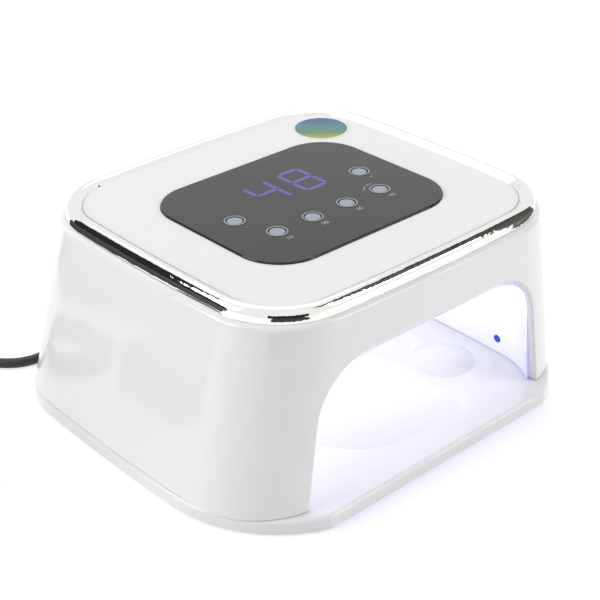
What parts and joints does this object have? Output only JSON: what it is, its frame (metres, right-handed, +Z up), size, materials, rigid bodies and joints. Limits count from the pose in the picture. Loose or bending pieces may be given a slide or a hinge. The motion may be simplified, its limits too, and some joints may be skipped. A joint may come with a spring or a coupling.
{
  "type": "uv led nail lamp",
  "caption": "Desktop curing lamp for gel nails: white domed head with an arched hand opening, smoked key panel, bright trim ring, loose tray and corded supply.",
  "frame": {"origin": "centre of the tray's footprint, on the surface the lamp stands on", "axes": "+Z up, -Y towards the hand opening, +X to the right as seen from the front"},
  "size_m": [0.3334, 0.2754, 0.1046],
  "materials": {
    "gloss_white_body": "high gloss moulded",
    "plate_white": "high gloss moulded",
    "liner_white": "reflective white",
    "frame_plastic": "moulded matte",
    "trim_chrome": "mirror plated",
    "panel_smoked": "smoked acrylic, polished",
    "gasket_foam": "foam",
    "bezel_silver": "pale silver paint",
    "key_silver": "pale blue grey paint",
    "switch_black": "moulded",
    "digit_violet": "lit segments",
    "board_green": "solder mask",
    "board_white": "white solder mask",
    "led_lens": "clear domes",
    "sensor_window": "dark blue window",
    "screw_steel": "zinc plated",
    "magnet_nickel": "nickel plated",
    "foot_rubber": "matte",
    "badge_print": "printed colour blend",
    "socket_black": "moulded",
    "wire_sheath": "wire sheath",
    "plug_black": "fine moulded grain",
    "relief_black": "moulded",
    "cord_black": "satin sheath",
    "tie_black": "hook and loop strap",
    "pin_nickel": "nickel plated"
  },
  "bodies": {
    "base_tray": {"tray": "gloss_white_body", "tray_magnets": "magnet_nickel", "rubber_feet": "foot_rubber"},
    "lamp_head": {"adaptor": "plug_black", "adaptor_pins": "pin_nickel", "adaptor_relief": "relief_black", "ceiling_led_board": "board_white", "ceiling_leds": "led_lens", "chrome_trim_ring": "trim_chrome", "coil_tie": "tie_black", "control_board": "board_green", "control_board_chips": "switch_black", "control_board_screws": "screw_steel", "cord_coil": "cord_black", "cord_tail": "cord_black", "dc_jack": "socket_black", "dc_plug": "plug_black", "display_digits": "digit_violet", "display_module": "switch_black", "foot_frame": "frame_plastic", "foot_frame_screws": "screw_steel", "hand_sensor_boards": "board_white", "hand_sensors": "sensor_window", "inner_liner": "liner_white", "inner_wires": "wire_sheath", "key_bezels": "bezel_silver", "lamp_magnets": "magnet_nickel", "left_led_board": "board_white", "left_leds": "led_lens", "outer_housing": "gloss_white_body", "panel_gasket": "gasket_foam", "panel_lens": "panel_smoked", "plug_relief": "relief_black", "power_board": "board_green", "power_board_parts": "switch_black", "power_board_screws": "screw_steel", "power_cord": "cord_black", "rear_led_board": "board_white", "rear_leds": "led_lens", "right_led_board": "board_white", "right_leds": "led_lens", "round_badge": "badge_print", "tact_switches": "switch_black", "top_plate": "plate_white", "top_plate_screws": "screw_steel"},
    "key_left": {"key_left": "key_silver"},
    "key_row_1": {"key_row_1": "key_silver"},
    "key_row_2": {"key_row_2": "key_silver"},
    "key_row_3": {"key_row_3": "key_silver"},
    "key_row_4": {"key_row_4": "key_silver"},
    "key_right": {"key_right": "key_silver"}
  },
  "joints": [
    {"name": "head_lift", "type": "slide", "parent": "base_tray", "child": "lamp_head", "axis": [0, 0, 1], "range_m": [0, 0.05]},
    {"name": "key_left_press", "type": "slide", "parent": "lamp_head", "child": "key_left", "axis": [0, 0, -1], "range_m": [0, 0.0005], "stiffness_N_per_m": 900, "springref_m": -0.0012},
    {"name": "key_row_1_press", "type": "slide", "parent": "lamp_head", "child": "key_row_1", "axis": [0, 0, -1], "range_m": [0, 0.0005], "stiffness_N_per_m": 900, "springref_m": -0.0012},
    {"name": "key_row_2_press", "type": "slide", "parent": "lamp_head", "child": "key_row_2", "axis": [0, 0, -1], "range_m": [0, 0.0005], "stiffness_N_per_m": 900, "springref_m": -0.0012},
    {"name": "key_row_3_press", "type": "slide", "parent": "lamp_head", "child": "key_row_3", "axis": [0, 0, -1], "range_m": [0, 0.0005], "stiffness_N_per_m": 900, "springref_m": -0.0012},
    {"name": "key_row_4_press", "type": "slide", "parent": "lamp_head", "child": "key_row_4", "axis": [0, 0, -1], "range_m": [0, 0.0005], "stiffness_N_per_m": 900, "springref_m": -0.0012},
    {"name": "key_right_press", "type": "slide", "parent": "lamp_head", "child": "key_right", "axis": [0, 0, -1], "range_m": [0, 0.0005], "stiffness_N_per_m": 900, "springref_m": -0.0012}
  ]
}
